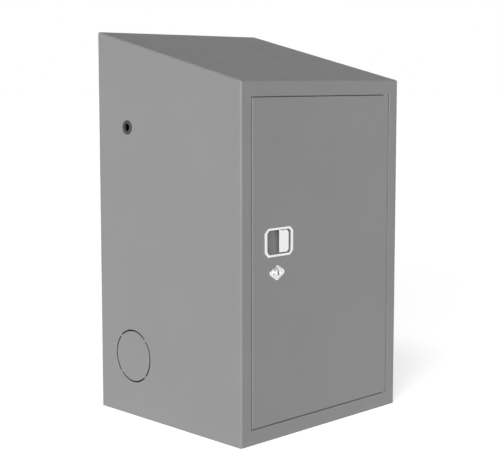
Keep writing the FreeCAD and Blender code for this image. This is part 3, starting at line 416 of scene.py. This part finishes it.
def make_bezel():
    """A pressed rim with a rolled outer and inner edge, a slight crown and four threaded studs."""
    low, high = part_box("latch_bezel")
    centre = middle(low, high, 0, 2)
    width, height = high.x - low.x, high.z - low.z
    front, rear = low.y, DOOR_FRONT
    roll, crown, blend = 1.2*MM, 0.3*MM, 3*MM
    outer = octagon(centre, width, height, BEZEL_CORNER)
    ridge = octagon(centre, width - SIDE_RIM, height - END_RIM, (BEZEL_CORNER + WINDOW_CORNER)/2)
    window = octagon(centre, width - 2*SIDE_RIM, height - 2*END_RIM, WINDOW_CORNER)
    rings = [facing_y(corner_round(outer, blend), rear)]
    for inset, down in arc(roll):
        rings.append(facing_y(corner_round(shrink(outer, inset), blend - inset), front + crown + down))
    rings.append(facing_y(corner_round(ridge, blend/2), front))
    for inset, down in reversed(arc(roll)):
        rings.append(facing_y(corner_round(shrink(window, -inset), blend/2 + inset), front + crown + down))
    rings.append(facing_y(corner_round(window, blend/2), rear))
    bm = bmesh.new()
    loft(bm, rings, closed=True)
    stud_x, stud_z = 47.8*MM, 20*MM
    stud_radius, pitch, ridge_depth = 1.95*MM, 0.7*MM, 0.25*MM
    for side in (-1, 1):
        for level in (-1, 1):
            spot = (centre[0] + side*stud_x, centre[1] + level*stud_z)
            lathe(bm, spot, thread(rear, high.y, stud_radius, pitch, ridge_depth), steps=20)
    return piece("bezel", bm, "polished_chrome", "door", "latch_bezel")


def sunk(outline, blend, top, floor, heel):
    """A closed form that fills a recess: straight walls, then a soft radius into its floor."""
    bm = bmesh.new()
    inwards = 1 if floor > top else -1
    rings = [facing_y(corner_round(outline, blend), top)]
    for inset, down in arc(heel):
        rings.append(facing_y(corner_round(shrink(outline, inset), blend), floor - inwards*down))
    loft(bm, rings)
    return bm


def make_dish():
    """A cast cup with soft inner radii: a finger well, and a deeper pocket for the paddle's hub and arm."""
    low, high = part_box("latch_dish")
    centre = middle(low, high, 0, 2)
    hub = JOINT_AT["paddle_pull"]
    wall, heel, blend = SHEET, 3*MM, 1.5*MM
    well_gap, well_depth = 13.5*MM, 12*MM
    left, right, bottom, top = low.x + wall, high.x - wall, low.z + wall, high.z - wall
    well_right = hub.x - well_gap
    well_floor, pocket_floor = DOOR_FRONT + well_depth, high.y - wall
    inside = octagon(centre, right - left, top - bottom, WINDOW_CORNER)
    outside = octagon(centre, high.x - low.x, high.z - low.z, WINDOW_CORNER)
    pocket = cut_rectangle(well_right, right, bottom, top, right_cut=WINDOW_CORNER)
    hollow = cut_rectangle(left, well_right - wall, bottom, top, left_cut=WINDOW_CORNER)
    arm_z = hub.z + ARM_LEVEL
    slot = cut_rectangle(hub.x - ARM_HALF_WIDTH - ARM_SWING, hub.x + ARM_HALF_WIDTH + ARM_GAP,
                         arm_z - ARM_HALF_HEIGHT - ARM_GAP, arm_z + ARM_HALF_HEIGHT + ARM_GAP)
    pin = bmesh.new()
    lathe(pin, (hub.x, hub.y), [(PADDLE_PIN/2, low.z - wall), (PADDLE_PIN/2, high.z + wall)], facing_z)
    dish = piece("dish", sunk(outside, blend, low.y, high.y, heel), "dark_coating", "door", "latch_dish")
    carve(dish, sunk(inside, blend, low.y - wall, well_floor, heel),
          sunk(pocket, blend, low.y - 2*wall, pocket_floor, heel/2),
          sunk(hollow, blend, high.y + wall, well_floor + wall, heel/2),
          sunk(slot, blend/2, pocket_floor - wall, high.y + wall, wall/2), pin)
    return dish


def make_paddle():
    """A crowned pull plate with a curled finger edge, on the tube it turns on, with its web and rear arm."""
    low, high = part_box("latch_paddle")
    hub = JOINT_AT["paddle_pull"]
    thick, roll, blend = 3.5*MM, 1.1*MM, 1.6*MM
    left, right, bottom, top = low.x, high.x, low.z, high.z
    outline = cut_rectangle(left, right, bottom, top, right_cut=WINDOW_CORNER)
    first_inset, inset_step, inset_count = 2.5*MM, 1.5*MM, 5
    profile = [(inset, low.y + thick - down) for inset, down in reversed(arc(roll))]
    profile += [(inset, low.y + down) for inset, down in arc(roll)]
    profile += [(first_inset + i*inset_step, low.y) for i in range(inset_count)]
    bm = bmesh.new()
    loft(bm, [facing_y(corner_round(shrink(outline, inset), blend), y) for inset, y in profile])
    half, across = (right - left)/2, (left + right)/2
    crown, curl_width, curl_depth = 0.45*MM, 9*MM, 2.2*MM
    for vert in bm.verts:
        vert.co.y += crown*((vert.co.x - across)/half)**2
        curl = max(0, 1 - (vert.co.x - left)/curl_width)
        vert.co.y += curl_depth*curl**2

    tube_end, tube_radius, clearance = 4*MM, 2.7*MM, 0.05*MM
    tube_low, tube_high = bottom + tube_end, top - tube_end
    bore = PADDLE_PIN/2 + clearance
    lathe(bm, (hub.x, hub.y), [(bore, tube_low), (tube_radius, tube_low), (tube_radius, tube_high),
                               (bore, tube_high)], facing_z, closed=True, steps=32)

    web, edge = 2*MM, 0.8*MM
    web_start, web_end = low.y + 2*MM, hub.y - PADDLE_PIN/2 - 0.5*MM
    rib = cut_rectangle(hub.x - web, hub.x + web, tube_low, tube_high)
    loft(bm, [facing_y(corner_round(rib, edge), y) for y in (web_start, web_end)])

    arm_z = hub.z + ARM_LEVEL
    arm_start, bevel = hub.y + PADDLE_PIN/2 + 0.3*MM, 0.6*MM
    arm = cut_rectangle(hub.x - ARM_HALF_WIDTH, hub.x + ARM_HALF_WIDTH,
                        arm_z - ARM_HALF_HEIGHT, arm_z + ARM_HALF_HEIGHT)
    ends = [facing_y(corner_round(arm, edge), y) for y in (arm_start, high.y - edge)]
    ends.append(facing_y(corner_round(shrink(arm, bevel), edge/2), high.y))
    loft(bm, ends)
    return piece("paddle", bm, "polished_chrome", "paddle", "latch_paddle")


# Lock ------------------------------------------------------------------------------------

LOCK_BORE = 9.5*MM
PLUG_RADIUS = 6.5*MM
PLUG_CLEARANCE = 0.05*MM
LOCK_NUT_FLATS = 26*MM
KEYWAY_WIDTH = 4*MM
KEYWAY_HEIGHT = 10*MM
KEYWAY_DEPTH = 11.5*MM


def make_rosette():
    """A rounded diamond plate that swells towards a raised round collar, with a groove between them."""
    low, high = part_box("lock_rosette")
    centre = middle(low, high, 0, 2)
    width, height, blend = high.x - low.x, high.z - low.z, 8*MM
    slant = math.hypot(width, height)
    half_x = width/2 + blend*(slant/height - 1)
    half_z = height/2 + blend*(slant/width - 1)
    diamond = [Vector((centre[0] - half_x, centre[1])), Vector((centre[0], centre[1] - half_z)),
               Vector((centre[0] + half_x, centre[1])), Vector((centre[0], centre[1] + half_z))]
    roll, swell, plate, collar = 1.3*MM, 0.5*MM, 3*MM, 13.5*MM
    face = DOOR_FRONT - plate
    base = circle(centre, collar, 2*CIRCLE_STEPS)
    rings = []
    for inset, y in [(0, DOOR_FRONT)] + [(inset, face + swell + down) for inset, down in arc(roll)]:
        outline = corner_round(shrink(diamond, inset), blend - inset, 2*ROUND_STEPS)
        rings.append(facing_y(pushed(base, centre, outline_reach(outline, centre)), y))
    groove = [(collar + 2.2*MM, face + 0.1*MM), (collar + 1.6*MM, face + 1.5*MM),
              (collar + 0.3*MM, face + 1.5*MM), (collar, face + 1.1*MM)]
    ring = [(collar, low.y + 0.7*MM), (collar - 0.2*MM, low.y + 0.25*MM), (collar - 0.7*MM, low.y),
            (LOCK_BORE + 0.5*MM, low.y), (LOCK_BORE, low.y + 0.4*MM), (LOCK_BORE, DOOR_FRONT)]
    for radius, y in groove + ring:
        rings.append(facing_y(pushed(base, centre, lambda angle: radius), y))
    bm = bmesh.new()
    loft(bm, rings, closed=True)
    return piece("rosette", bm, "polished_chrome", "door", "lock_rosette")


def make_barrel():
    """The lock's threaded barrel, with a rounded lip round the plug."""
    low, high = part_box("lock_barrel")
    centre = middle(low, high, 0, 2)
    lip, bore, bevel = 1.1*MM, PLUG_RADIUS + PLUG_CLEARANCE, 0.4*MM
    thread_start, pitch, ridge_depth = DOOR_FRONT + 1*MM, 1.2*MM, 0.35*MM
    profile = [(bore, high.y), *reversed(thread(thread_start, high.y, LOCK_BORE, pitch, ridge_depth)),
               (LOCK_BORE, DOOR_FRONT)]
    profile += [(LOCK_BORE - inset, low.y + down) for inset, down in arc(lip)]
    profile += [(bore + bevel, low.y), (bore, low.y + bevel)]
    bm = bmesh.new()
    lathe(bm, centre, profile, closed=True)
    return piece("barrel", bm, "polished_chrome", "door", "lock_barrel")


def make_plug():
    """The plug that turns with the key, with a chamfered rim and an upright keyway whose walls carry painted
    shade, a near-black finish.
    """
    low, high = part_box("lock_plug")
    centre = middle(low, high, 0, 2)
    rim, sink, bevel = 0.5*MM, 0.3*MM, 0.35*MM
    front = low.y + sink
    keyway_lip, keyway_end = front + bevel, front + KEYWAY_DEPTH
    base = circle(centre, PLUG_RADIUS)
    slot = slot_reach(KEYWAY_WIDTH, KEYWAY_HEIGHT)
    rings = [facing_y(base, high.y), facing_y(base, front + rim),
             facing_y(circle(centre, PLUG_RADIUS - rim), front),
             facing_y(pushed(base, centre, lambda angle: slot(angle) + bevel), front),
             facing_y(pushed(base, centre, slot), keyway_lip),
             facing_y(pushed(base, centre, slot), keyway_end)]
    bm = bmesh.new()
    loft(bm, rings)
    plug = piece("plug", bm, "polished_chrome", "lock", "lock_plug")
    plug.data.materials.append(FINISHES["keyway_painted_shade"])
    # Painted shade: the faces inside the keyway take the near-black keyway finish.
    for face in plug.data.polygons:
        off_axis = math.hypot(face.center.x - centre[0], face.center.z - centre[1])
        in_keyway = keyway_lip < face.center.y < keyway_end + 0.1*MM and off_axis < PLUG_RADIUS - rim
        face.material_index = int(in_keyway)
    return plug


# Rubber, rivets and nuts -----------------------------------------------------------------

def make_grommet():
    """A soft ring whose two rounded lips hold the sheet between them."""
    low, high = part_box("cable_grommet")
    centre = middle(low, high, 1, 2)
    flange, bore, neck = (high.y - low.y)/2, 10*MM, 15*MM
    inner_flange = flange - 1*MM
    relief = 0.3*MM
    lip = low.x + 2.5*MM
    inner_lip = lip + SHEET
    flange_roll, bore_roll, inner_flange_roll, inner_bore_roll = 2.1*MM, 2*MM, 1.8*MM, 1.5*MM
    profile = [(neck, lip), (flange - relief, lip)]
    profile += [(flange - inset, low.x + down) for inset, down in arc(flange_roll)]
    profile += [(bore + inset, low.x + down) for inset, down in reversed(arc(bore_roll))]
    profile += [(bore + inset, high.x - down) for inset, down in arc(inner_bore_roll)]
    profile += [(inner_flange - inset, high.x - down) for inset, down in reversed(arc(inner_flange_roll))]
    profile += [(inner_flange - relief, inner_lip), (neck, inner_lip)]
    bm = bmesh.new()
    lathe(bm, centre, profile, facing_x, closed=True)
    return piece("grommet", bm, "rubber_black", "cabinet", "cable_grommet")


def make_gasket():
    """A foam strip with a rounded crest, mitred round the door stop."""
    low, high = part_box("door_gasket")
    width, corner, least_corner = 8*MM, 4*MM, 0.5*MM
    base, crest, steps = 1.5*MM, 3.5*MM, 10
    outline = cut_rectangle(low.x, high.x, low.z, high.z)
    rings = [facing_y(corner_round(outline, corner), high.y)]
    for i in range(steps + 1):
        turn = math.pi*i/steps
        inset = width/2*(1 - math.cos(turn))
        rings.append(facing_y(corner_round(shrink(outline, inset), max(corner - inset, least_corner)),
                              high.y - base - crest*math.sin(turn)))
    rings.append(facing_y(corner_round(shrink(outline, width), least_corner), high.y))
    bm = bmesh.new()
    loft(bm, rings, closed=True)
    return piece("gasket", bm, "rubber_black", "cabinet", "door_gasket")


def make_rivets():
    """Two domed rivets through the strike and the stop."""
    low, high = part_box("strike_rivets")
    x, head = (low.x + high.x)/2, (high.x - low.x)/2
    shank, dome, tail, tip = 2*MM, 1.4*MM, 0.7*MM, 0.1*MM
    bm = bmesh.new()
    for z in (low.z + head, high.z - head):
        profile = [(tip, low.y), (0.4*head, low.y + 0.08*dome), (0.75*head, low.y + 0.4*dome),
                   (head, low.y + dome), (shank, low.y + dome), (shank, high.y - tail),
                   (head, high.y - tail), (0.8*head, high.y - 0.3*tail), (tip, high.y)]
        lathe(bm, (x, z), profile, steps=28)
    return piece("rivets", bm, "zinc_plated", "cabinet", "strike_rivets")


def add_nut(bm, centre, flats, bore, front, rear):
    """A hexagonal nut with chamfered corners on both faces."""
    base = circle(centre, 1*MM)
    bevel, countersink, worn_reach = 0.12*flats, 0.03*flats, 0.52*flats
    full = across_flats(flats)
    worn = across_flats(flats, worn_reach)
    rings = []
    for reach, y in ((lambda angle: bore + countersink, front), (worn, front),
                     (full, front + bevel/2), (full, rear - bevel/2), (worn, rear),
                     (lambda angle: bore + countersink, rear), (lambda angle: bore, rear - bevel/3),
                     (lambda angle: bore, front + bevel/3)):
        rings.append(facing_y(pushed(base, centre, reach), y))
    loft(bm, rings, closed=True)


def make_lock_nut():
    """The thin nut that clamps the lock from behind."""
    low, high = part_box("lock_nut")
    bm = bmesh.new()
    add_nut(bm, middle(low, high, 0, 2), LOCK_NUT_FLATS, LOCK_BORE, low.y, high.y)
    return piece("clamp_nut", bm, "zinc_plated", "door", "lock_nut")


def make_nuts(name, node, body, flats, bore):
    """The four nuts of a node, at the corners of its box."""
    low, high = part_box(node)
    reach_x, reach_z = flats/math.sqrt(3), flats/2
    bm = bmesh.new()
    for x in (low.x + reach_x, high.x - reach_x):
        for z in (low.z + reach_z, high.z - reach_z):
            add_nut(bm, (x, z), flats, bore, low.y, high.y)
    return piece(name, bm, "zinc_plated", body, node)


make_bezel()
make_dish()
make_paddle()
make_rosette()
make_barrel()
make_plug()
make_lock_nut()
make_grommet()
make_gasket()
make_rivets()
make_nuts("bezel_nuts", "latch_nuts", "door", flats=7*MM, bore=2*MM)
make_nuts("saddle_fixings", "saddle_nuts", "cabinet", flats=13*MM, bore=4*MM)


# Floor, light and camera -----------------------------------------------------------------

# The world dims between these heights of a unit direction.
WORLD_FADE = (0.05, 0.4)


def make_floor(albedo, glow):
    """A pale floor that reads as white and mirrors as white, and still takes the cabinet's soft shadow."""
    radius, segments = 60, 64
    bm = bmesh.new()
    bmesh.ops.create_circle(bm, cap_ends=True, segments=segments, radius=radius)
    mesh = bpy.data.meshes.new("floor")
    bm.to_mesh(mesh)
    bm.free()
    floor = bpy.data.objects.new("floor", mesh)
    bpy.context.scene.collection.objects.link(floor)
    finish = Finish("floor", grey(albedo), rough=0.9)
    finish.shader.inputs["Specular IOR Level"].default_value = 0
    path = finish.add("ShaderNodeLightPath")
    seen = finish.add("ShaderNodeMath", operation="MAXIMUM")
    finish.link(path.outputs["Is Camera Ray"], seen.inputs[0])
    finish.link(path.outputs["Is Glossy Ray"], seen.inputs[1])
    level = finish.add("ShaderNodeMath", operation="MULTIPLY")
    level.inputs[1].default_value = glow
    finish.link(seen.outputs["Value"], level.inputs[0])
    finish.shader.inputs["Emission Color"].default_value = (1, 1, 1, 1)
    finish.link(level.outputs["Value"], finish.shader.inputs["Emission Strength"])
    floor.data.materials.append(finish.material)


def make_world(ambient, gloss):
    """A studio lit from all round and dim overhead, that shows as plain white to the camera.

    ambient and gloss are each a pair of levels, at the horizon and overhead.
    """
    world = bpy.data.worlds.new("studio")
    bpy.context.scene.world = world
    world.use_nodes = True
    nodes, links = world.node_tree.nodes, world.node_tree.links
    nodes.clear()
    path = nodes.new("ShaderNodeLightPath")
    split = nodes.new("ShaderNodeSeparateXYZ")
    links.new(nodes.new("ShaderNodeTexCoord").outputs["Generated"], split.inputs["Vector"])

    def shade(level):
        node = nodes.new("ShaderNodeBackground")
        node.inputs["Color"].default_value = (1, 1, 1, 1)
        node.inputs["Strength"].default_value = level
        return node

    def graded(levels):
        node = shade(levels[0])
        rise = nodes.new("ShaderNodeMapRange")
        rise.interpolation_type = "SMOOTHSTEP"
        for socket, value in zip(("From Min", "From Max", "To Min", "To Max"), (*WORLD_FADE, *levels)):
            rise.inputs[socket].default_value = value
        links.new(split.outputs["Z"], rise.inputs["Value"])
        links.new(rise.outputs["Result"], node.inputs["Strength"])
        return node

    def either(switch, off, on):
        node = nodes.new("ShaderNodeMixShader")
        links.new(path.outputs[switch], node.inputs["Fac"])
        links.new(off.outputs[0], node.inputs[1])
        links.new(on.outputs[0], node.inputs[2])
        return node

    output = nodes.new("ShaderNodeOutputWorld")
    mirrored = either("Is Glossy Ray", graded(ambient), graded(gloss))
    links.new(either("Is Camera Ray", mirrored, shade(1)).outputs[0], output.inputs["Surface"])


def make_lamp(name, azimuth, elevation, level, spread):
    """A broad, distant lamp; level is what it adds to a white surface facing it.

    Angles are in degrees: azimuth from -X towards -Y, elevation above the floor.
    """
    lamp = bpy.data.lights.new(name, "SUN")
    lamp.energy = level*math.pi
    lamp.angle = math.radians(spread)
    turn, rise = math.radians(azimuth), math.radians(elevation)
    direction = Vector((-math.cos(turn)*math.cos(rise), -math.sin(turn)*math.cos(rise), math.sin(rise)))
    obj = bpy.data.objects.new(name, lamp)
    obj.rotation_euler = direction.to_track_quat("Z", "Y").to_euler()
    bpy.context.scene.collection.objects.link(obj)


def make_camera():
    """The photograph's viewpoint: a short telephoto a little below the roof's front edge."""
    lens = bpy.data.cameras.new("camera")
    lens.lens = 84.85
    lens.sensor_width = 36
    lens.shift_y = -0.05
    camera = bpy.data.objects.new("camera", lens)
    camera.location = (-2.2693, -2.3083, 0.9104)
    camera.rotation_euler = (math.radians(83.82), 0, math.radians(-44.56))
    bpy.context.scene.collection.objects.link(camera)
    bpy.context.scene.camera = camera


make_floor(albedo=0.62, glow=0.71)
make_world(ambient=(0.88, 0.12), gloss=(0.95, 0.2))
make_lamp("low_key", azimuth=32, elevation=7, level=0.83, spread=40)
make_lamp("high_key", azimuth=27, elevation=56, level=0.28, spread=14)
make_camera()
bpy.context.scene.view_settings.view_transform = "Standard"
